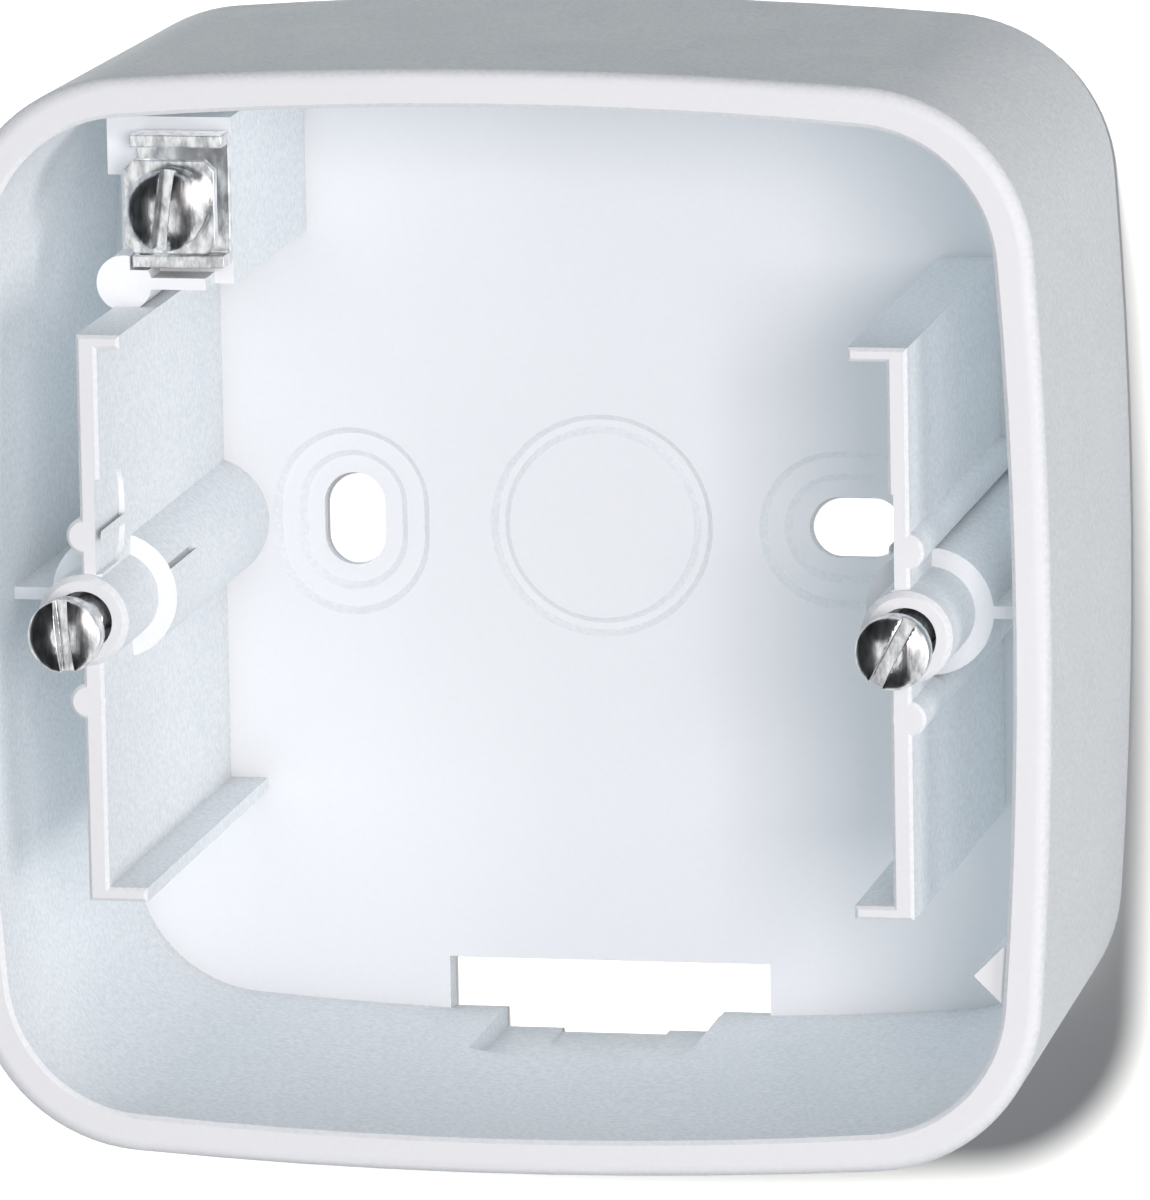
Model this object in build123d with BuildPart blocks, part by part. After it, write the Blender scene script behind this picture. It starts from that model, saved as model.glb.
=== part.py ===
"""Surface back box for one wiring device.

A moulded housing with gently bowed sides stands on the wall, open to the front. Two webs
inside carry the posts of the device screws, and a loop terminal sits on a tower in the
upper left corner.

Frame: the back face lies on the wall at Y = 0, the open front faces -Y and +Z is up. The
origin is the centre of the back face. Sizes are in millimetres. A size that ends in
"front" is a distance out of the wall.
"""

import os
from math import cos, radians, sin

from build123d import *

# Shell
box_width = 80.5  # at the rim, across the middle of the bowed sides
box_height = 80.5
box_depth = 42.0
side_bow = 1.9  # fall of each side from its middle to the sharp corner
corner_radius = 13.0
side_draft = 0.7  # each outer side stands this much further in at the back
cavity_draft = 0.3  # each inner side stands this much further in at the floor
rim_thickness = 2.7
floor_thickness = 2.0
rim_outer_round = 1.0
rim_steps = 4  # flats around the round outer edge of the rim
rim_inner_chamfer = 0.3
back_chamfer = 0.5

# Webs with their end flanges and beads
web_spacing = 58.9  # between the middles of the webs
web_thickness = 1.5
web_gap = 1.3  # from the end of each web to the shelf of the terminal
web_front = 42.0
web_chamfer = 0.25
flange_reach = 2.8  # from the inner face of the web
short_flange_reach = 1.7  # at the end beside the terminal
flange_thickness = 1.0
bead_radius = 1.3
bead_spacing = 12.1
bead_shift = 0.5  # outwards from the middle of the web
pocket_length = 7.7  # shallow pocket in the inner face, back from the front edge
pocket_height = 6.9
pocket_depth = 0.4
pocket_radius = 2.5
pocket_centre = 6.75  # above the screws

# Posts of the device screws
screw_spacing = 60.0
post_radius = 3.35
post_front = 42.8
post_chamfer = 0.4
collar_radius = 4.65
collar_front = 32.6
shoulder_length = 0.3
post_rib_thickness = 0.9
collar_slit_width = 0.45
collar_slit_depth = 0.6
collar_slit_length = 8.5  # back from the collar's front
collar_slit_turn = 28.0  # degrees up from the inner side
post_mouth_radius = 2.2
post_mouth_depth = 5.0
pilot_depth = 25.0

# Device screws
device_head_radius = 2.65
device_head_edge = 1.6  # straight part of the head
device_head_dome = 0.5
device_head_gap = 4.1  # from the post to the underside of the head
device_shank_radius = 1.5
device_shank_length = 24.0
device_slot_width = 0.95
device_slot_depth = 1.1
left_slot_turn = 95.0  # degrees from +X, seen from the front
right_slot_turn = 62.0

# Floor openings
fixing_spacing = 38.0
fixing_slot_length = 7.0
fixing_slot_width = 4.6
fixing_step_width = 1.8  # sunk seat of the screw head, around a fixing slot
fixing_rim_width = 1.8  # shallower seat around it
fixing_rim_depth = 0.6
fixing_step_depth = 1.1
fixing_slope = 0.5  # run of the sloping side of each seat
knockout_radius = 7.0
knockout_groove_width = 1.4
knockout_groove_depth = 0.5
knockout_slope = 0.45  # run of each side of the groove

# Cable entry in the floor and the bottom wall
entry_width = 24.4
entry_height = 4.2
breakout_width = 16.6
breakout_front = 16.8  # at the middle of its round front end
breakout_bulge = 2.6  # of the front end, beyond its corners
breakout_skin = 0.75  # wall that is left to break out
score_radius = 4.1  # round front end of the thinner tongue in the breakout
score_front = 8.0
score_depth = 0.3

# Guide rib inside the right wall
guide_centre = -24.8
guide_reach = 2.3
guide_setback = 1.0
guide_length = 9.0

# Terminal tower
terminal_inset = 4.05  # from the middle of the left web
terminal_drop = 9.1  # under the top of the cavity
tower_front = 26.5
tower_margin = 0.9  # above the terminal
tower_wall = 1.2
ear_width = 1.0  # ear at the upper left of the tower
ear_height = 4.3
seat_thickness = 1.8
shelf_front = 29.6
shelf_thickness = 0.85
shelf_gap = 0.75  # under the terminal
shelf_inset = 1.4  # right end of the shelf, in from the terminal's right side
boss_radius = 2.05

# Terminal base, clamp and screw
base_width = 6.8
base_height = 9.7
base_thickness = 0.9
base_lip = 2.2
base_bend_radius = 0.6
clamp_width = 6.7
clamp_height = 6.8
clamp_thickness = 1.0
clamp_corner = 0.7
clamp_lift = 3.6  # open gap between the base plate and the clamp
terminal_head_radius = 2.95
terminal_head_edge = 1.9
terminal_head_dome = 0.5
terminal_shank_radius = 1.75
terminal_shank_length = 9.5
terminal_slot_width = 1.05
terminal_slot_depth = 1.2
terminal_slot_turn = 83.0

# Clearances
thread_clearance = 0.1
seat_clearance = 0.2

# Worked out from the sizes above
wall = Plane.XZ  # local x is right, local y is up, the normal points out of the wall
cavity_width = box_width - 2 * rim_thickness
cavity_height = box_height - 2 * rim_thickness
cavity_radius = corner_radius - rim_thickness
floor_radius = cavity_radius - cavity_draft
floor_width = cavity_width - 2 * cavity_draft
floor_height = cavity_height - 2 * cavity_draft
back_width = box_width - 2 * side_draft
back_height = box_height - 2 * side_draft
back_radius = corner_radius - side_draft
web_centre = web_spacing / 2
terminal_x = terminal_inset - web_centre
terminal_z = cavity_height / 2 - terminal_drop
web_inner = web_centre - web_thickness / 2
web_outer = web_centre + web_thickness / 2
screw_x = screw_spacing / 2
pilot_radius = device_shank_radius + thread_clearance
device_head_seat = post_front + device_head_gap
base_front = tower_front + base_thickness
clamp_back = base_front + clamp_lift
clamp_front = clamp_back + clamp_thickness
tower_right = terminal_x + base_width / 2
tower_top = terminal_z + base_height / 2 + tower_margin
shelf_top = terminal_z - base_height / 2 - shelf_gap
shelf_right = tower_right - shelf_inset
tower_bottom = shelf_top - shelf_thickness
ear_left = -web_outer - ear_width
web_length = 2 * (tower_bottom - web_gap)


def bowed_square(front, width, height, radius, inset=0):
    """Bowed square with round corners, drawn in by the inset, at a distance out of the wall."""
    middle_x = width / 2 - inset
    middle_y = height / 2 - inset
    corner_x = middle_x - side_bow
    corner_y = middle_y - side_bow
    with BuildSketch(wall.offset(front)) as outline:
        with BuildLine():
            ThreePointArc((-corner_x, -corner_y), (0, -middle_y), (corner_x, -corner_y))
            ThreePointArc((corner_x, -corner_y), (middle_x, 0), (corner_x, corner_y))
            ThreePointArc((corner_x, corner_y), (0, middle_y), (-corner_x, corner_y))
            ThreePointArc((-corner_x, corner_y), (-middle_x, 0), (-corner_x, -corner_y))
        make_face()
        fillet(outline.vertices(), radius - inset)
    return outline.sketch


def slot_outline(front, side, turn, reach):
    """Outline of a fixing slot, grown by the reach, at a distance out of the wall."""
    with BuildSketch(wall.offset(front)) as outline:
        with Locations((side * fixing_spacing / 2, 0)):
            SlotOverall(fixing_slot_length + 2 * reach, fixing_slot_width + 2 * reach, rotation=turn)
    return outline.sketch


def slotted_screw(x, z, seat, head, edge, dome, shank, length, slot_width, slot_depth, turn):
    """Screw along the depth with a domed slotted head, its underside at the seat distance."""
    head_front = seat + edge + dome
    dome_radius = (head**2 + dome**2) / (2 * dome)
    with BuildPart() as screw:
        with BuildSketch(Plane((x, 0, z))):
            with BuildLine():
                Polyline(
                    (0, -head_front),
                    (0, -(seat - length)),
                    (shank, -(seat - length)),
                    (shank, -seat),
                    (head, -seat),
                    (head, -(seat + edge)),
                )
                RadiusArc((head, -(seat + edge)), (0, -head_front), dome_radius)
            make_face()
        revolve(axis=Axis((x, 0, z), (0, 1, 0)))
        with BuildSketch(wall.offset(head_front)):
            with Locations((x, z)):
                Rectangle(3 * head, slot_width, rotation=turn)
        extrude(amount=-slot_depth, mode=Mode.SUBTRACT)
    return screw


# Both webs, each with two end flanges, two beads and a shallow pocket
with BuildPart() as webs:
    with BuildSketch(wall.offset(floor_thickness)):
        with Locations((-web_centre, 0), (web_centre, 0)):
            Rectangle(web_thickness, web_length)
        for side, end, reach in (
            (-1, -1, flange_reach),
            (-1, 1, short_flange_reach),
            (1, -1, flange_reach),
            (1, 1, flange_reach),
        ):
            with Locations((side * (web_inner - reach / 2), end * (web_length - flange_thickness) / 2)):
                Rectangle(reach, flange_thickness)
        with GridLocations(web_spacing + 2 * bead_shift, bead_spacing, 2, 2):
            Circle(bead_radius)
    extrude(amount=web_front - floor_thickness)
    front_faces = webs.faces().filter_by(Axis.Y).group_by(Axis.Y)[0]
    chamfer(front_faces.edges(), web_chamfer)
    for side in (-1, 1):
        with BuildSketch(Plane.YZ.offset(side * web_inner)):
            with Locations((-(web_front - (pocket_length - pocket_radius) / 2), pocket_centre)):
                RectangleRounded(pocket_length + pocket_radius, pocket_height, pocket_radius)
        extrude(amount=side * pocket_depth, mode=Mode.SUBTRACT)

# Both posts: a collar from the floor with a slit in its inner side, and a slimmer nose
with BuildPart() as posts:
    for side in (-1, 1):
        with BuildSketch(Plane((side * screw_x, 0, 0))):
            with BuildLine():
                Polyline(
                    (0, -floor_thickness / 2),
                    (collar_radius, -floor_thickness / 2),
                    (collar_radius, -collar_front),
                    (post_radius, -(collar_front + shoulder_length)),
                    (post_radius, -post_front),
                    (0, -post_front),
                    close=True,
                )
            make_face()
        revolve(axis=Axis((side * screw_x, 0, 0), (0, 1, 0)))
    chamfer(posts.edges().group_by(Axis.Y)[0], post_chamfer)
    for side in (-1, 1):
        slit_turn = 180 * (side > 0) - side * collar_slit_turn
        with BuildSketch(wall.offset(collar_front)):
            with Locations(Location((side * screw_x, 0), slit_turn)):
                with Locations((collar_radius, 0)):
                    Rectangle(2 * collar_slit_depth, collar_slit_width)
        extrude(amount=-collar_slit_length, mode=Mode.SUBTRACT)

# Tower of the terminal with its shelf and the boss at the shelf's left end
with BuildPart() as tower:
    with BuildSketch(wall.offset(floor_thickness)):
        with BuildLine():
            Polyline(
                (-web_outer, tower_bottom),
                (tower_right, tower_bottom),
                (tower_right, tower_top),
                (ear_left, tower_top),
                (ear_left, tower_top - ear_height),
                (-web_outer, tower_top - ear_height),
                close=True,
            )
        make_face()
    extrude(amount=tower_front - floor_thickness)
    with BuildSketch(wall.offset(floor_thickness)):
        with Locations((-web_centre, shelf_top - shelf_thickness / 2)):
            Circle(boss_radius)
        with Locations(((shelf_right - web_centre) / 2, shelf_top - shelf_thickness / 2)):
            Rectangle(shelf_right + web_centre, shelf_thickness)
    extrude(amount=shelf_front - floor_thickness)
    with BuildSketch(wall.offset(tower_front)):
        with Locations((terminal_x, terminal_z)):
            Rectangle(base_width + 2 * seat_clearance, base_height + 2 * seat_clearance)
    extrude(amount=shelf_front - tower_front, mode=Mode.SUBTRACT)

with BuildPart() as housing:
    # Drafted outer body with a chamfered back edge and a round outer edge at the rim
    body_sections = [
        bowed_square(0, back_width, back_height, back_radius, back_chamfer),
        bowed_square(back_chamfer, back_width, back_height, back_radius),
    ]
    for step in range(rim_steps + 1):
        turned = radians(90 * step / rim_steps)
        front = box_depth - rim_outer_round * (1 - sin(turned))
        inset = rim_outer_round * (1 - cos(turned))
        body_sections.append(bowed_square(front, box_width, box_height, corner_radius, inset))
    loft(body_sections, ruled=True)

    # Drafted cavity with a chamfer at the rim
    loft(
        [
            bowed_square(floor_thickness, floor_width, floor_height, floor_radius),
            bowed_square(box_depth - rim_inner_chamfer, cavity_width, cavity_height, cavity_radius),
            bowed_square(box_depth, cavity_width, cavity_height, cavity_radius, -rim_inner_chamfer),
        ],
        ruled=True,
        mode=Mode.SUBTRACT,
    )

    # Fixing slots in stepped seats with sloping sides: the left slot stands, the right one lies
    for side, turn in ((-1, 90), (1, 0)):
        rim_reach = fixing_step_width + fixing_rim_width
        rim_front = floor_thickness - fixing_rim_depth
        step_front = floor_thickness - fixing_step_depth
        for back, front, reach in (
            (rim_front, floor_thickness, rim_reach),
            (step_front, rim_front, fixing_step_width),
        ):
            loft(
                [
                    slot_outline(back, side, turn, reach - fixing_slope),
                    slot_outline(front, side, turn, reach),
                ],
                ruled=True,
                mode=Mode.SUBTRACT,
            )
        extrude(slot_outline(0, side, turn, 0), amount=step_front, mode=Mode.SUBTRACT)

    # Ring groove of the central knockout
    groove_back = floor_thickness - knockout_groove_depth
    groove_end = knockout_radius + knockout_groove_width
    with BuildSketch(Plane.XY):
        with BuildLine():
            Polyline(
                (knockout_radius, -floor_thickness),
                (knockout_radius + knockout_slope, -groove_back),
                (groove_end - knockout_slope, -groove_back),
                (groove_end, -floor_thickness),
                close=True,
            )
        make_face()
    revolve(axis=Axis.Y, mode=Mode.SUBTRACT)

    # Cable entry: a notch in the floor and a thinned breakout in the bottom wall
    skin_inside = -(back_height / 2 - breakout_skin)
    entry_bottom = -floor_height / 2
    with BuildSketch(wall):
        with Locations((0, entry_bottom + entry_height / 2)):
            Rectangle(entry_width, entry_height)
    extrude(amount=floor_thickness, mode=Mode.SUBTRACT)
    with BuildSketch(Plane.XY.offset(skin_inside)):
        with BuildLine():
            Polyline(
                (-breakout_width / 2, -(breakout_front - breakout_bulge)),
                (-breakout_width / 2, 0),
                (breakout_width / 2, 0),
                (breakout_width / 2, -(breakout_front - breakout_bulge)),
            )
            ThreePointArc(
                (-breakout_width / 2, -(breakout_front - breakout_bulge)),
                (0, -breakout_front),
                (breakout_width / 2, -(breakout_front - breakout_bulge)),
            )
        make_face()
    extrude(amount=entry_bottom + entry_height - skin_inside, mode=Mode.SUBTRACT)
    with BuildSketch(Plane.XY.offset(skin_inside)):
        with Locations((0, -(score_front - score_radius))):
            Circle(score_radius)
        with Locations((0, -(score_front - score_radius) / 2)):
            Rectangle(2 * score_radius, score_front - score_radius)
    extrude(amount=-score_depth, mode=Mode.SUBTRACT)

    # Ribs from the collars to the side walls
    with BuildSketch(wall.offset(floor_thickness)):
        rib_end = (cavity_width + rim_thickness) / 2
        with Locations((-(screw_x + rib_end) / 2, 0), ((screw_x + rib_end) / 2, 0)):
            Rectangle(rib_end - screw_x, post_rib_thickness)
    extrude(amount=collar_front - floor_thickness)

    # Guide rib inside the right wall
    with BuildSketch(wall.offset(box_depth - guide_setback)):
        rib_root = cavity_width / 2
        guide_tip = cavity_width / 2 - side_bow / 2 - guide_reach
        with BuildLine():
            Polyline(
                (guide_tip, guide_centre),
                (rib_root, guide_centre - (rib_root - guide_tip)),
                (rib_root, guide_centre + (rib_root - guide_tip)),
                close=True,
            )
        make_face()
    extrude(amount=-guide_length)

    add(webs.part)
    add(posts.part)
    add(tower.part)

    # Mouth and pilot hole of each post
    with BuildSketch(wall.offset(post_front)):
        with Locations((-screw_x, 0), (screw_x, 0)):
            Circle(pilot_radius)
    extrude(amount=-pilot_depth, mode=Mode.SUBTRACT)
    with BuildSketch(wall.offset(post_front)):
        with Locations((-screw_x, 0), (screw_x, 0)):
            Circle(post_mouth_radius)
    extrude(amount=-post_mouth_depth, mode=Mode.SUBTRACT)

    # Tower cored from the back, with a hole in its seat for the terminal screw
    with BuildSketch(wall):
        with Locations(((tower_right - web_outer) / 2, (tower_top + tower_bottom) / 2)):
            Rectangle(
                tower_right + web_outer - 2 * tower_wall,
                tower_top - tower_bottom - 2 * tower_wall,
            )
    extrude(amount=tower_front - seat_thickness, mode=Mode.SUBTRACT)
    with BuildSketch(wall.offset(tower_front)):
        with Locations((terminal_x, terminal_z)):
            Circle(terminal_shank_radius + seat_clearance)
    extrude(amount=-seat_thickness, mode=Mode.SUBTRACT)

# Terminal base: a tapped plate with lips bent forward at its top and bottom
with BuildPart() as terminal_base:
    with BuildSketch(Plane.YZ.offset(terminal_x - base_width / 2)):
        with BuildLine():
            Polyline(
                (-(base_front + base_lip), terminal_z + base_height / 2),
                (-tower_front, terminal_z + base_height / 2),
                (-tower_front, terminal_z - base_height / 2),
                (-(base_front + base_lip), terminal_z - base_height / 2),
                (-(base_front + base_lip), terminal_z - base_height / 2 + base_thickness),
                (-base_front, terminal_z - base_height / 2 + base_thickness),
                (-base_front, terminal_z + base_height / 2 - base_thickness),
                (-(base_front + base_lip), terminal_z + base_height / 2 - base_thickness),
                close=True,
            )
        make_face()
    extrude(amount=base_width)
    fillet(terminal_base.edges().filter_by(Axis.X).group_by(Axis.Y)[-1], base_bend_radius)
    with BuildSketch(wall.offset(base_front)):
        with Locations((terminal_x, terminal_z)):
            Circle(terminal_shank_radius + thread_clearance)
    extrude(amount=-base_thickness, mode=Mode.SUBTRACT)

# Clamp plate under the head of the terminal screw
with BuildPart() as terminal_clamp:
    with BuildSketch(wall.offset(clamp_back)) as clamp_outline:
        with Locations((terminal_x, terminal_z)):
            Rectangle(clamp_width, clamp_height)
        chamfer(clamp_outline.vertices(), clamp_corner)
        with Locations((terminal_x, terminal_z)):
            Circle(terminal_shank_radius + seat_clearance, mode=Mode.SUBTRACT)
    extrude(amount=clamp_thickness)

terminal_screw = slotted_screw(
    terminal_x,
    terminal_z,
    clamp_front,
    terminal_head_radius,
    terminal_head_edge,
    terminal_head_dome,
    terminal_shank_radius,
    terminal_shank_length,
    terminal_slot_width,
    terminal_slot_depth,
    terminal_slot_turn,
)


def device_screw(x, turn):
    """One of the two screws that will hold the wiring device."""
    return slotted_screw(
        x,
        0,
        device_head_seat,
        device_head_radius,
        device_head_edge,
        device_head_dome,
        device_shank_radius,
        device_shank_length,
        device_slot_width,
        device_slot_depth,
        turn,
    )


left_device_screw = device_screw(-screw_x, left_slot_turn)
right_device_screw = device_screw(screw_x, right_slot_turn)

os.makedirs("parts", exist_ok=True)
pieces = {
    "housing": housing,
    "terminal_base": terminal_base,
    "terminal_clamp": terminal_clamp,
    "terminal_screw": terminal_screw,
    "left_device_screw": left_device_screw,
    "right_device_screw": right_device_screw,
}
for name, piece in pieces.items():
    piece.part.label = name
    export_step(piece.part, f"parts/{name}.step")
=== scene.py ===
"""Looks of the surface back box: grained white moulding, plated threaded screws and loop terminal."""

import math

import bmesh
import bpy
from mathutils import Matrix, Vector


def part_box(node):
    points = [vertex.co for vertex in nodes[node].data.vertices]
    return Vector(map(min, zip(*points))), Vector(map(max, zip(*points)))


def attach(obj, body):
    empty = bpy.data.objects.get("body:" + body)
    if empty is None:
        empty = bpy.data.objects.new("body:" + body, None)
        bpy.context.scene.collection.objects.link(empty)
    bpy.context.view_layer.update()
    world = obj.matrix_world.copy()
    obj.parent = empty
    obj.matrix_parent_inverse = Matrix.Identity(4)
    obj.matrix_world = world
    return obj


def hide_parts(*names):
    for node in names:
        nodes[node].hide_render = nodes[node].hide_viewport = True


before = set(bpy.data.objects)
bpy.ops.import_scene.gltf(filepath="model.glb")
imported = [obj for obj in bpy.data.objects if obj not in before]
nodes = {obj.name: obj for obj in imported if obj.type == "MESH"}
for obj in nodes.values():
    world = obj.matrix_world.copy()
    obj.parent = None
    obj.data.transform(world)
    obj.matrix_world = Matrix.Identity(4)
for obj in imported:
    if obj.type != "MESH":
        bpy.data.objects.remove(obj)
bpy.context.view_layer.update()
scene = bpy.context.scene

# Sizes are in metres, angles in degrees, lamp powers in watts, and colours are linear
MM = 0.001
MERGE_DISTANCE = 0.002 * MM
FLAT_ANGLE = 0.4  # facets that meet flatter than this are one face
SHARP_ANGLE = 32.0  # edges sharper than this are broken, the others are smooth
MOULDED_EDGE = 0.12 * MM
PLATED_EDGE = 0.08 * MM
EDGE_STEPS = 2

# White moulding
MOULDING_TONES = ((0.94, 0.945, 0.95), (0.965, 0.968, 0.971))
SPECK_COLOUR = (0.66, 0.69, 0.71)
SPECK_SHARE = 0.45  # how far a full speck pulls the white towards its colour
GRAIN_PER_METRE = 2800.0
GRAIN_SPREAD = (0.32, 0.68)  # noise values of no speck and of a full speck
FLOOR_GRAIN = 0.12  # share of the grain on faces that look to the front or the back
TONE_PER_METRE = 45.0
GLOSS_PER_METRE = 260.0
MOULDING_ROUGHNESS = 0.5
GLOSS_CHANGE = 0.16
MOULDING_SPECULAR = 0.2
MOULDING_BUMP = 0.6
MOULDING_RELIEF = 0.08 * MM

# Plated metal
NICKEL_BRIGHT = (0.86, 0.87, 0.88)
NICKEL_DULL = (0.42, 0.43, 0.44)
NICKEL_ROUGHNESS = 0.1
ZINC_BRIGHT = (0.9, 0.91, 0.92)
ZINC_DULL = (0.48, 0.49, 0.5)
ZINC_ROUGHNESS = 0.12
SCRATCHES_PER_METRE = (9000.0, 900.0, 700.0)
SCRATCH_ROUGHNESS = 0.16
SCRATCH_HEIGHT = 0.35  # against that of the dents
DENTS_PER_METRE = 1100.0
TARNISH_PER_METRE = (1900.0, 1200.0, 900.0)
TARNISH_SPREAD = (0.32, 0.62)  # noise values of dull and of bright metal
PLATED_BUMP = 0.3
PLATED_RELIEF = 0.03 * MM

# Threaded screws
DEVICE_PITCH = 0.55 * MM
TERMINAL_PITCH = 0.6 * MM
THREAD_DEPTH = 0.27 * MM
THREAD_BITE = 0.1 * MM  # how far a threaded shank reaches into its head
THREAD_SIDES = 40
RINGS_PER_TURN = 8.0
FLANK_STEEPNESS = 1.5  # 1 is a plain V, and more leaves flat crests and roots
TIP_LENGTH = 0.45  # share of the crest radius
THREAD_SHARP_ANGLE = 50.0
HEAD_EDGE = 0.98  # share of the head's radius past which a point is on its edge
SHANK_START = 0.1 * MM  # points further than this behind the head's seat are on the shank
SHANK_READ = 1.0 * MM  # how far behind the seat the radius of the shank is read

# Stage and light: directions are azimuth, from the front towards the right, and elevation
WALL_GAP = 0.8 * MM  # from the back of the box to the wall
WALL_HALF = 2.0
WALL_PAINT = (0.60, 0.55, 0.53)
SCREEN_DISTANCE = 1.1
SCREEN_FRAME = (-62.0, 14.0, -55.0, 36.0)  # left and right azimuth, low and high elevation
SCREEN_WINDOW = (-25.0, 0.0, -26.0, 3.0)
SCREEN_BLACK = (0.05, 0.052, 0.054)
LAMP_DISTANCE = 1.3
WARM = (1.0, 0.925, 0.935)
COOL = (0.92, 1.0, 1.0)
WHITE = (1.0, 1.0, 1.0)
AMBIENT_COLOUR = (0.79, 0.91, 1.0)
AMBIENT_STRENGTH = 0.265
LATE_BOUNCE = 2  # after this many bounces, ambient light stands for the rest
LATE_REACH = 4.0 * MM  # how near a face has to be to shade that ambient light
LATE_FACTOR = 2.5

# Camera at the photograph's viewing angle
CAMERA_AZIMUTH = 11.474
CAMERA_ELEVATION = 10.831
CAMERA_ROLL = -1.037
CAMERA_DISTANCE = 0.951
CAMERA_AIM = Vector((1.914, -22.0, -1.764)) * MM
CAMERA_LENS = 391.42
CAMERA_SENSOR = 36.0
CAMERA_CLIP = 0.01


# Small helpers for node trees
def new_group(name, inputs, outputs):
    """Shader node group with the named sockets, and its input and output nodes."""
    group = bpy.data.node_groups.new(name, "ShaderNodeTree")
    for label, kind, value in inputs:
        socket = group.interface.new_socket(label, in_out="INPUT", socket_type=kind)
        socket.default_value = value
    for label, kind in outputs:
        group.interface.new_socket(label, in_out="OUTPUT", socket_type=kind)
    return group, group.nodes.new("NodeGroupInput"), group.nodes.new("NodeGroupOutput")


def feed(tree, socket, value):
    """Links a socket to the input, or sets the plain value on it."""
    if isinstance(value, bpy.types.NodeSocket):
        tree.links.new(value, socket)
    elif value is not None:
        socket.default_value = value


def calc(tree, operation, first, second=None, third=None, clamp=False):
    """Math node whose inputs are sockets or plain numbers."""
    node = tree.nodes.new("ShaderNodeMath")
    node.operation = operation
    node.use_clamp = clamp
    for socket, value in zip(node.inputs, (first, second, third)):
        feed(tree, socket, value)
    return node.outputs[0]


def noise(tree, coordinates, scale, detail=1.0, roughness=0.5):
    """Noise value at the given scale per metre."""
    node = tree.nodes.new("ShaderNodeTexNoise")
    node.inputs["Detail"].default_value = detail
    node.inputs["Roughness"].default_value = roughness
    feed(tree, node.inputs["Scale"], scale)
    feed(tree, node.inputs["Vector"], coordinates)
    return node.outputs["Fac"]


def spread(tree, value, limits):
    """Value stretched so that the two limits become 0 and 1."""
    node = tree.nodes.new("ShaderNodeMapRange")
    node.inputs["From Min"].default_value = limits[0]
    node.inputs["From Max"].default_value = limits[1]
    feed(tree, node.inputs["Value"], value)
    return node.outputs["Result"]


def stretched(tree, place, turn, per_metre):
    """Coordinates scaled along each axis, then turned, so that each piece has its own pattern."""
    node = tree.nodes.new("ShaderNodeMapping")
    node.inputs["Scale"].default_value = per_metre
    tree.links.new(turn, node.inputs["Rotation"])
    tree.links.new(place, node.inputs["Vector"])
    return node.outputs[0]


def mix_colour(tree, mask, first, second):
    """Colour between two plain colours, or colour sockets, by a mask."""
    node = tree.nodes.new("ShaderNodeMix")
    node.data_type = "RGBA"
    feed(tree, node.inputs[0], mask)
    # A Mix node keeps the sockets of all its data types, and these are those of its colours
    for socket, value in ((node.inputs[6], first), (node.inputs[7], second)):
        feed(tree, socket, value if isinstance(value, bpy.types.NodeSocket) else (*value, 1.0))
    return node.outputs[2]


def add_bump(tree, shader, height, strength, distance):
    """Gives the shader a relief from a height."""
    bump = tree.nodes.new("ShaderNodeBump")
    bump.inputs["Strength"].default_value = strength
    bump.inputs["Distance"].default_value = distance
    tree.links.new(height, bump.inputs["Height"])
    tree.links.new(bump.outputs["Normal"], shader.inputs["Normal"])


def new_material(name):
    """Material with only its Principled shader, ready for links."""
    material = bpy.data.materials.new(name)
    material.use_nodes = True
    tree = material.node_tree
    return material, tree, tree.nodes["Principled BSDF"]


def use_group(tree, group):
    """Node that places a shader node group in a material."""
    node = tree.nodes.new("ShaderNodeGroup")
    node.node_tree = group
    return node


# Finishes
def moulded_grain_group():
    """Spark-eroded grain, strongest on the side walls, with slow changes of tone and gloss."""
    group, given, made = new_group(
        "moulded_grain",
        [
            ("Grain per metre", "NodeSocketFloat", GRAIN_PER_METRE),
            ("Floor share", "NodeSocketFloat", FLOOR_GRAIN),
        ],
        [
            ("Height", "NodeSocketFloat"),
            ("Tone", "NodeSocketFloat"),
            ("Specks", "NodeSocketFloat"),
            ("Gloss", "NodeSocketFloat"),
        ],
    )
    place = group.nodes.new("ShaderNodeTexCoord").outputs["Object"]
    facing = group.nodes.new("ShaderNodeSeparateXYZ")
    group.links.new(group.nodes.new("ShaderNodeNewGeometry").outputs["Normal"], facing.inputs[0])
    side_wall = calc(group, "SUBTRACT", 1.0, calc(group, "ABSOLUTE", facing.outputs["Y"]))
    share = calc(group, "MAXIMUM", calc(group, "SQRT", side_wall), given.outputs["Floor share"])
    grain = noise(group, place, given.outputs["Grain per metre"], roughness=0.6)
    specks = calc(group, "MULTIPLY", spread(group, grain, GRAIN_SPREAD), share)
    group.links.new(calc(group, "MULTIPLY", grain, share), made.inputs["Height"])
    group.links.new(noise(group, place, TONE_PER_METRE), made.inputs["Tone"])
    group.links.new(specks, made.inputs["Specks"])
    group.links.new(noise(group, place, GLOSS_PER_METRE), made.inputs["Gloss"])
    return group


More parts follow.
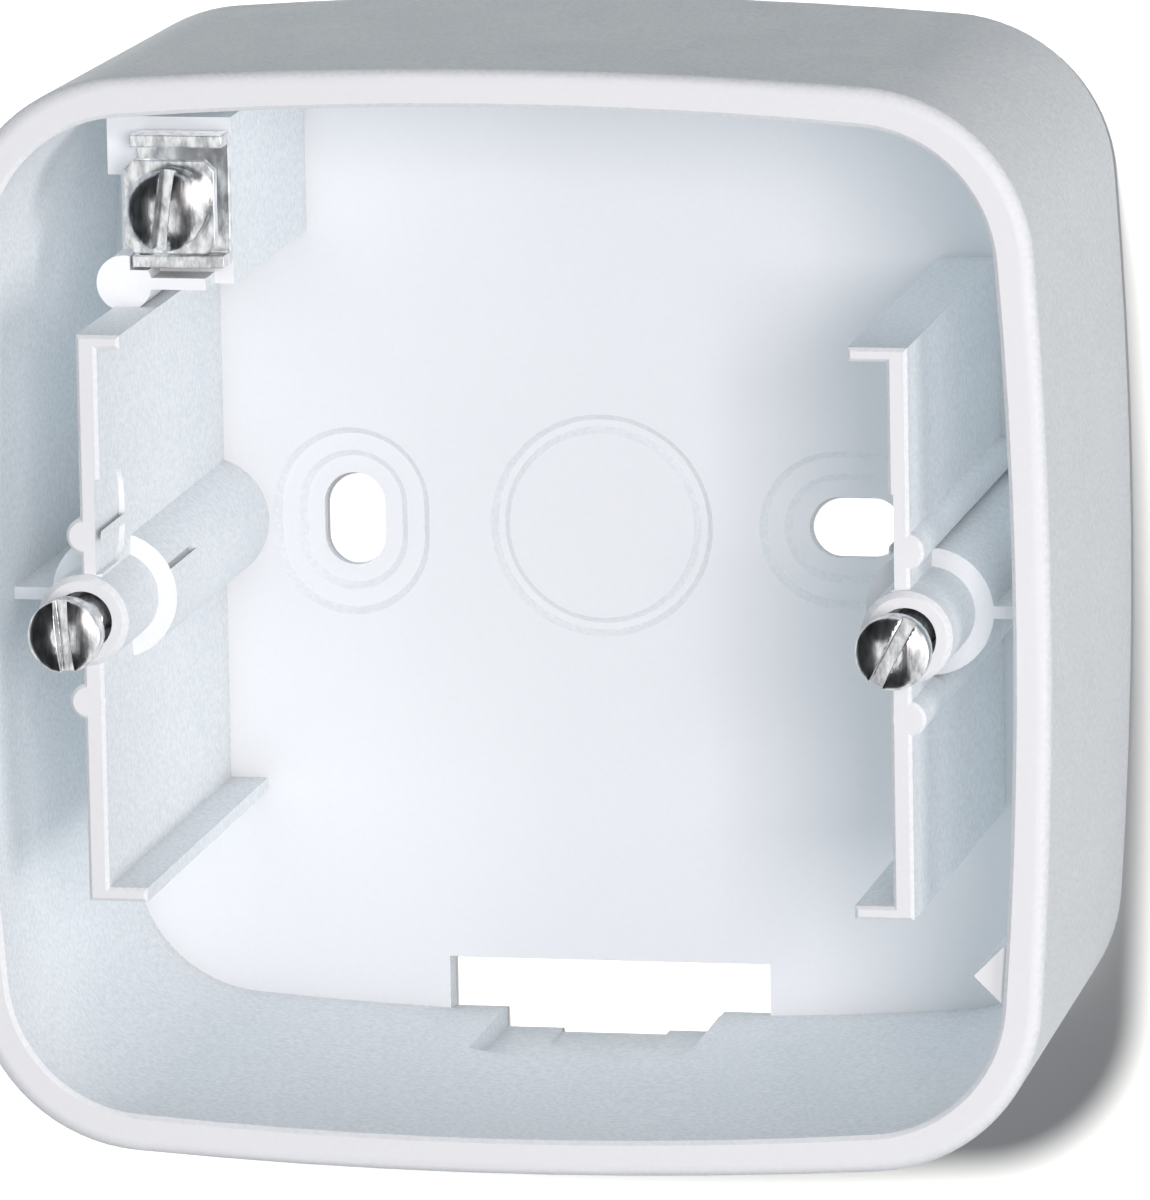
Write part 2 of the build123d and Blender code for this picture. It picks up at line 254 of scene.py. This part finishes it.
def plated_group():
    """Fine scratches, patchy tarnish and a slightly uneven surface of a small plated piece."""
    group, given, made = new_group(
        "plated_surface",
        [("Pattern turn", "NodeSocketVector", (0.0, 0.0, 0.0))],
        [
            ("Height", "NodeSocketFloat"),
            ("Bright", "NodeSocketFloat"),
            ("Scratch", "NodeSocketFloat"),
        ],
    )
    place = group.nodes.new("ShaderNodeTexCoord").outputs["Object"]
    turn = given.outputs["Pattern turn"]
    scratch = noise(group, stretched(group, place, turn, SCRATCHES_PER_METRE), 1.0, detail=3.0)
    patches = noise(group, stretched(group, place, turn, TARNISH_PER_METRE), 1.0, detail=3.0)
    dents = noise(group, place, DENTS_PER_METRE)
    height = calc(group, "ADD", calc(group, "MULTIPLY", scratch, SCRATCH_HEIGHT), dents)
    group.links.new(height, made.inputs["Height"])
    group.links.new(spread(group, patches, TARNISH_SPREAD), made.inputs["Bright"])
    group.links.new(scratch, made.inputs["Scratch"])
    return group


def white_moulding(grain_group):
    """Matte white plastic with fine specks in its grain."""
    material, tree, shader = new_material("white_moulding")
    grain = use_group(tree, grain_group)
    plain = mix_colour(tree, grain.outputs["Tone"], *MOULDING_TONES)
    specks = calc(tree, "MULTIPLY", grain.outputs["Specks"], SPECK_SHARE)
    gloss = calc(tree, "MULTIPLY_ADD", grain.outputs["Gloss"], GLOSS_CHANGE, MOULDING_ROUGHNESS)
    tree.links.new(mix_colour(tree, specks, plain, SPECK_COLOUR), shader.inputs["Base Color"])
    tree.links.new(gloss, shader.inputs["Roughness"])
    shader.inputs["Specular IOR Level"].default_value = MOULDING_SPECULAR
    add_bump(tree, shader, grain.outputs["Height"], MOULDING_BUMP, MOULDING_RELIEF)
    return material


def plated_metal(name, plating, bright, dull, roughness, pattern_turn):
    """Plated metal with fine brushing and patches of tarnish."""
    material, tree, shader = new_material(name)
    surface = use_group(tree, plating)
    surface.inputs["Pattern turn"].default_value = (0.0, math.radians(pattern_turn), 0.0)
    colour = mix_colour(tree, surface.outputs["Bright"], dull, bright)
    rough = calc(tree, "MULTIPLY_ADD", surface.outputs["Scratch"], SCRATCH_ROUGHNESS, roughness)
    tree.links.new(colour, shader.inputs["Base Color"])
    tree.links.new(rough, shader.inputs["Roughness"])
    shader.inputs["Metallic"].default_value = 1.0
    add_bump(tree, shader, surface.outputs["Height"], PLATED_BUMP, PLATED_RELIEF)
    return material


# Pieces
def finish_piece(piece, material=None):
    """Puts a piece on the box's one body and gives it its one material, when one is given."""
    if material:
        piece.data.materials.clear()
        piece.data.materials.append(material)
    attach(piece, "root")
    return piece


def merged_shape(node):
    """Mesh in editing form of a CAD node, its loose triangles joined into flat faces."""
    shape = bmesh.new()
    shape.from_mesh(nodes[node].data)
    bmesh.ops.remove_doubles(shape, verts=shape.verts, dist=MERGE_DISTANCE)
    bmesh.ops.dissolve_limit(
        shape, angle_limit=math.radians(FLAT_ANGLE), verts=shape.verts, edges=shape.edges)
    return shape


def soft_edged_piece(shape, name, width):
    """Object with the shape's sharp edges broken by a narrow round of the given width."""
    mesh = bpy.data.meshes.new(name)
    shape.to_mesh(mesh)
    shape.free()
    mesh.shade_smooth()
    mesh.set_sharp_from_angle(angle=math.radians(SHARP_ANGLE))
    piece = bpy.data.objects.new(name, mesh)
    scene.collection.objects.link(piece)
    bevel = piece.modifiers.new("broken_edges", "BEVEL")
    bevel.width = width
    bevel.segments = EDGE_STEPS
    bevel.limit_method = "ANGLE"
    bevel.angle_limit = math.radians(SHARP_ANGLE)
    bevel.miter_outer = "MITER_ARC"
    weighted = piece.modifiers.new("flat_faces", "WEIGHTED_NORMAL")
    weighted.keep_sharp = False
    return piece


def threaded_shank_tree():
    """Geometry Nodes tree of a shank: a finely divided cylinder whose radius follows a helix."""
    tree = bpy.data.node_groups.new("threaded_shank", "GeometryNodeTree")
    tree.interface.new_socket("Geometry", in_out="OUTPUT", socket_type="NodeSocketGeometry")
    for label, kind in (
        ("Seat", "NodeSocketVector"),
        ("Length", "NodeSocketFloat"),
        ("Crest radius", "NodeSocketFloat"),
        ("Thread depth", "NodeSocketFloat"),
        ("Pitch", "NodeSocketFloat"),
        ("Plating", "NodeSocketMaterial"),
    ):
        tree.interface.new_socket(label, in_out="INPUT", socket_type=kind)
    given = tree.nodes.new("NodeGroupInput").outputs
    blank = tree.nodes.new("GeometryNodeMeshCylinder")
    blank.inputs["Vertices"].default_value = THREAD_SIDES
    turns = calc(tree, "DIVIDE", given["Length"], given["Pitch"])
    tree.links.new(calc(tree, "MULTIPLY", turns, RINGS_PER_TURN), blank.inputs["Side Segments"])
    tree.links.new(given["Crest radius"], blank.inputs["Radius"])
    tree.links.new(given["Length"], blank.inputs["Depth"])
    # The groove's depth rises and falls once per pitch along the helix, and the tip tapers
    at = tree.nodes.new("ShaderNodeSeparateXYZ")
    tree.links.new(tree.nodes.new("GeometryNodeInputPosition").outputs[0], at.inputs[0])
    turn = calc(tree, "DIVIDE", calc(tree, "ARCTAN2", at.outputs["Y"], at.outputs["X"]), math.tau)
    climb = calc(tree, "DIVIDE", at.outputs["Z"], given["Pitch"])
    phase = calc(tree, "FRACT", calc(tree, "ADD", climb, turn))
    ramp = calc(tree, "ABSOLUTE", calc(tree, "MULTIPLY_ADD", phase, 2.0, -1.0))
    flat = (1.0 - FLANK_STEEPNESS) / 2
    groove = calc(tree, "MULTIPLY_ADD", ramp, FLANK_STEEPNESS, flat, clamp=True)
    from_tip = calc(tree, "MULTIPLY_ADD", given["Length"], 0.5, at.outputs["Z"])
    tip_length = calc(tree, "MULTIPLY", given["Crest radius"], TIP_LENGTH)
    tip = calc(tree, "SUBTRACT", tip_length, from_tip)
    cut = calc(tree, "MAXIMUM", calc(tree, "MULTIPLY", groove, given["Thread depth"]), tip)
    share = calc(tree, "SUBTRACT", 1.0, calc(tree, "DIVIDE", cut, given["Crest radius"]))
    shaped = tree.nodes.new("ShaderNodeCombineXYZ")
    tree.links.new(calc(tree, "MULTIPLY", at.outputs["X"], share), shaped.inputs["X"])
    tree.links.new(calc(tree, "MULTIPLY", at.outputs["Y"], share), shaped.inputs["Y"])
    tree.links.new(at.outputs["Z"], shaped.inputs["Z"])
    thread = tree.nodes.new("GeometryNodeSetPosition")
    tree.links.new(blank.outputs["Mesh"], thread.inputs["Geometry"])
    tree.links.new(shaped.outputs[0], thread.inputs["Position"])
    # The cylinder is laid along the depth of the box, from its seat inwards
    half = tree.nodes.new("ShaderNodeCombineXYZ")
    tree.links.new(calc(tree, "MULTIPLY", given["Length"], 0.5), half.inputs["Y"])
    middle = tree.nodes.new("ShaderNodeVectorMath")
    tree.links.new(given["Seat"], middle.inputs[0])
    tree.links.new(half.outputs[0], middle.inputs[1])
    placed = tree.nodes.new("GeometryNodeTransform")
    placed.inputs["Rotation"].default_value = (math.radians(90), 0.0, 0.0)
    tree.links.new(thread.outputs[0], placed.inputs["Geometry"])
    tree.links.new(middle.outputs[0], placed.inputs["Translation"])
    real = tree.nodes.new("GeometryNodeRealizeInstances")
    plated = tree.nodes.new("GeometryNodeSetMaterial")
    tree.links.new(placed.outputs[0], real.inputs[0])
    tree.links.new(real.outputs[0], plated.inputs["Geometry"])
    tree.links.new(given["Plating"], plated.inputs["Material"])
    tree.links.new(plated.outputs[0], tree.nodes.new("NodeGroupOutput").inputs[0])
    return tree


def threaded_shank(tree, name, values):
    """Plain mesh object of the threaded shank with the given sizes."""
    maker = bpy.data.objects.new(name + "_maker", bpy.data.meshes.new(name + "_maker"))
    scene.collection.objects.link(maker)
    modifier = maker.modifiers.new("threaded_shank", "NODES")
    modifier.node_group = tree
    for item in tree.interface.items_tree:
        if item.in_out == "INPUT":
            modifier[item.identifier] = values[item.name]
    made = maker.evaluated_get(bpy.context.evaluated_depsgraph_get())
    mesh = bpy.data.meshes.new_from_object(made)
    mesh.name = name
    bpy.data.objects.remove(maker)
    mesh.shade_smooth()
    mesh.set_sharp_from_angle(angle=math.radians(THREAD_SHARP_ANGLE))
    piece = bpy.data.objects.new(name, mesh)
    scene.collection.objects.link(piece)
    return piece


def plated_screw(node, thread_tree, pitch, material):
    """Head and threaded shank that stand for one plain CAD screw."""
    low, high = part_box(node)
    axis = (low + high) / 2
    head_radius = (high.x - low.x) / 2
    shape = merged_shape(node)
    radius_of = {v: math.hypot(v.co.x - axis.x, v.co.z - axis.z) for v in shape.verts}
    seat = max(v.co.y for v in shape.verts if radius_of[v] > HEAD_EDGE * head_radius)
    shank_radius = max(radius_of[v] for v in shape.verts if v.co.y > seat + SHANK_READ)
    behind = [v for v in shape.verts if v.co.y > seat + SHANK_START]
    bmesh.ops.delete(shape, geom=behind, context="VERTS")
    underside = [e for e in shape.edges if e.is_boundary]
    bmesh.ops.holes_fill(shape, edges=underside, sides=0)
    bmesh.ops.recalc_face_normals(shape, faces=shape.faces)
    head = soft_edged_piece(shape, node + "_head", PLATED_EDGE)
    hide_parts(node)
    shank = threaded_shank(thread_tree, node + "_thread", {
        "Seat": (axis.x, seat - THREAD_BITE, axis.z),
        "Length": high.y - seat + THREAD_BITE,
        "Crest radius": shank_radius,
        "Thread depth": THREAD_DEPTH,
        "Pitch": pitch,
        "Plating": material,
    })
    return [finish_piece(head, material), finish_piece(shank)]


plating = plated_group()
thread = threaded_shank_tree()
housing = soft_edged_piece(merged_shape("housing"), "housing_moulding", MOULDED_EDGE)
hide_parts("housing")
pieces = [finish_piece(housing, white_moulding(moulded_grain_group()))]
for node, finish, pitch, turn in (
    ("left_device_screw", "left_screw_nickel", DEVICE_PITCH, 20.0),
    ("right_device_screw", "right_screw_nickel", DEVICE_PITCH, 65.0),
    ("terminal_screw", "terminal_screw_nickel", TERMINAL_PITCH, 40.0),
):
    nickel = plated_metal(finish, plating, NICKEL_BRIGHT, NICKEL_DULL, NICKEL_ROUGHNESS, turn)
    pieces += plated_screw(node, thread, pitch, nickel)
for node, turn in (("terminal_base", 0.0), ("terminal_clamp", 90.0)):
    zinc = plated_metal(node + "_zinc", plating, ZINC_BRIGHT, ZINC_DULL, ZINC_ROUGHNESS, turn)
    plate = soft_edged_piece(merged_shape(node), node + "_plate", PLATED_EDGE)
    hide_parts(node)
    pieces.append(finish_piece(plate, zinc))


# Stage and light
def direction(azimuth, elevation):
    """Unit vector from the box towards a place, azimuth from the front towards the right."""
    a = math.radians(azimuth)
    e = math.radians(elevation)
    return Vector((math.sin(a) * math.cos(e), -math.cos(a) * math.cos(e), math.sin(e)))


def background_rays(tree):
    """Mask of the rays that see the white background: the camera's, and those of metal and glass."""
    path = tree.nodes.new("ShaderNodeLightPath").outputs
    seen = calc(tree, "MAXIMUM", path["Is Camera Ray"], path["Is Glossy Ray"])
    return calc(tree, "MAXIMUM", seen, path["Is Transmission Ray"])


def white_wall():
    """Wall behind the box, seen from the front, and clear from behind and to the other light."""
    mesh = bpy.data.meshes.new("wall")
    half = WALL_HALF
    outline = ((-half, -half), (half, -half), (half, half), (-half, half))
    mesh.from_pydata([(x, WALL_GAP, z) for x, z in outline], [], [(0, 1, 2, 3)])
    wall = bpy.data.objects.new("wall", mesh)
    scene.collection.objects.link(wall)
    material = bpy.data.materials.new("wall_white")
    material.use_nodes = True
    tree = material.node_tree
    tree.nodes.clear()
    out = tree.nodes.new("ShaderNodeOutputMaterial")
    mix = tree.nodes.new("ShaderNodeMixShader")
    backfacing = tree.nodes.new("ShaderNodeNewGeometry").outputs["Backfacing"]
    front = calc(tree, "SUBTRACT", 1.0, backfacing)
    tree.links.new(calc(tree, "MULTIPLY", front, background_rays(tree)), mix.inputs[0])
    tree.links.new(tree.nodes.new("ShaderNodeBsdfTransparent").outputs[0], mix.inputs[1])
    paint = tree.nodes.new("ShaderNodeBsdfDiffuse")
    paint.inputs["Color"].default_value = (*WALL_PAINT, 1.0)
    tree.links.new(paint.outputs[0], mix.inputs[2])
    tree.links.new(mix.outputs[0], out.inputs["Surface"])
    mesh.materials.append(material)
    return wall


def dark_screen():
    """Dark screen in front of the box, seen only in reflections, with a window to the white behind."""
    corners = []
    for left, right, low, high in (SCREEN_FRAME, SCREEN_WINDOW):
        outline = ((left, low), (right, low), (right, high), (left, high))
        corners += [direction(a, e) * SCREEN_DISTANCE for a, e in outline]
    mesh = bpy.data.meshes.new("dark_screen")
    strips = [(k, (k + 1) % 4, (k + 1) % 4 + 4, k + 4) for k in range(4)]
    mesh.from_pydata(corners, [], strips)
    screen = bpy.data.objects.new("dark_screen", mesh)
    scene.collection.objects.link(screen)
    screen.visible_camera = False
    screen.visible_diffuse = False
    screen.visible_transmission = False
    screen.visible_shadow = False
    material, _, shader = new_material("screen_black")
    shader.inputs["Base Color"].default_value = (*SCREEN_BLACK, 1.0)
    shader.inputs["Roughness"].default_value = 1.0
    mesh.materials.append(material)


def surroundings():
    """World that is white to the camera and in reflections, and a cool soft light on the box."""
    world = bpy.data.worlds.new("surroundings")
    scene.world = world
    world.use_nodes = True
    tree = world.node_tree
    tree.nodes.clear()
    out = tree.nodes.new("ShaderNodeOutputWorld")
    room = tree.nodes.new("ShaderNodeBackground")
    room.inputs["Color"].default_value = (*AMBIENT_COLOUR, 1.0)
    room.inputs["Strength"].default_value = AMBIENT_STRENGTH
    white = tree.nodes.new("ShaderNodeBackground")
    white.inputs["Color"].default_value = (*WHITE, 1.0)
    mix = tree.nodes.new("ShaderNodeMixShader")
    tree.links.new(background_rays(tree), mix.inputs[0])
    tree.links.new(room.outputs[0], mix.inputs[1])
    tree.links.new(white.outputs[0], mix.inputs[2])
    tree.links.new(mix.outputs[0], out.inputs["Surface"])
    world.light_settings.distance = LATE_REACH
    world.light_settings.ao_factor = LATE_FACTOR


def aimed_lamp(name, kind, azimuth, elevation, energy, receivers, colour):
    """Lamp that shines from a direction on the box and lights only the named receivers."""
    data = bpy.data.lights.new(name, kind)
    data.energy = energy
    data.color = colour
    lamp = bpy.data.objects.new(name, data)
    scene.collection.objects.link(lamp)
    towards = direction(azimuth, elevation)
    lamp.location = towards * LAMP_DISTANCE
    lamp.rotation_mode = "QUATERNION"
    lamp.rotation_quaternion = towards.to_track_quat("Z", "Y")
    lit = bpy.data.collections.new(name + "_receivers")
    for receiver in receivers:
        lit.objects.link(receiver)
    lamp.light_linking.receiver_collection = lit
    return data


def soft_light(name, azimuth, elevation, size, power, receivers, colour=WHITE):
    """Square lamp on the named pieces of the box."""
    data = aimed_lamp(name, "AREA", azimuth, elevation, power, receivers, colour)
    data.shape = "SQUARE"
    data.size = size


def wall_light(azimuth, elevation, strength, softness):
    """Even light on the wall, which throws the shadow of the box."""
    data = aimed_lamp("wall_light", "SUN", azimuth, elevation, strength, [wall], COOL)
    data.angle = math.radians(softness)


def photograph_camera():
    """Camera that looks at the box as the photograph does."""
    data = bpy.data.cameras.new("camera")
    data.lens = CAMERA_LENS
    data.sensor_width = CAMERA_SENSOR
    data.clip_start = CAMERA_CLIP
    camera = bpy.data.objects.new("camera", data)
    scene.collection.objects.link(camera)
    back = direction(CAMERA_AZIMUTH, CAMERA_ELEVATION)
    level = direction(CAMERA_AZIMUTH + 90.0, 0.0)
    upright = back.cross(level)
    roll = math.radians(CAMERA_ROLL)
    side = level * math.cos(roll) + upright * math.sin(roll)
    top = upright * math.cos(roll) - level * math.sin(roll)
    axes = Matrix((side, top, back)).transposed()
    camera.matrix_world = Matrix.Translation(CAMERA_AIM + back * CAMERA_DISTANCE) @ axes.to_4x4()
    return camera


wall = white_wall()
dark_screen()
surroundings()
soft_light("right_key", 20.5, 9.0, size=0.34, power=6.3, receivers=pieces, colour=WARM)
soft_light("side_key", 56.0, -6.0, size=0.5, power=5.0, receivers=pieces)
soft_light("front_fill", 2.0, 4.0, size=1.3, power=2.8, receivers=[housing], colour=WARM)
soft_light("rear_fill", 200.0, -14.0, size=0.9, power=9.0, receivers=pieces)
soft_light("left_fill", 255.0, -6.0, size=0.9, power=5.0, receivers=pieces)
wall_light(-0.6, 13.2, strength=6.6, softness=5.0)
scene.camera = photograph_camera()
scene.view_settings.view_transform = "Standard"
scene.cycles.use_fast_gi = True
scene.cycles.fast_gi_method = "REPLACE"
scene.cycles.ao_bounces_render = LATE_BOUNCE
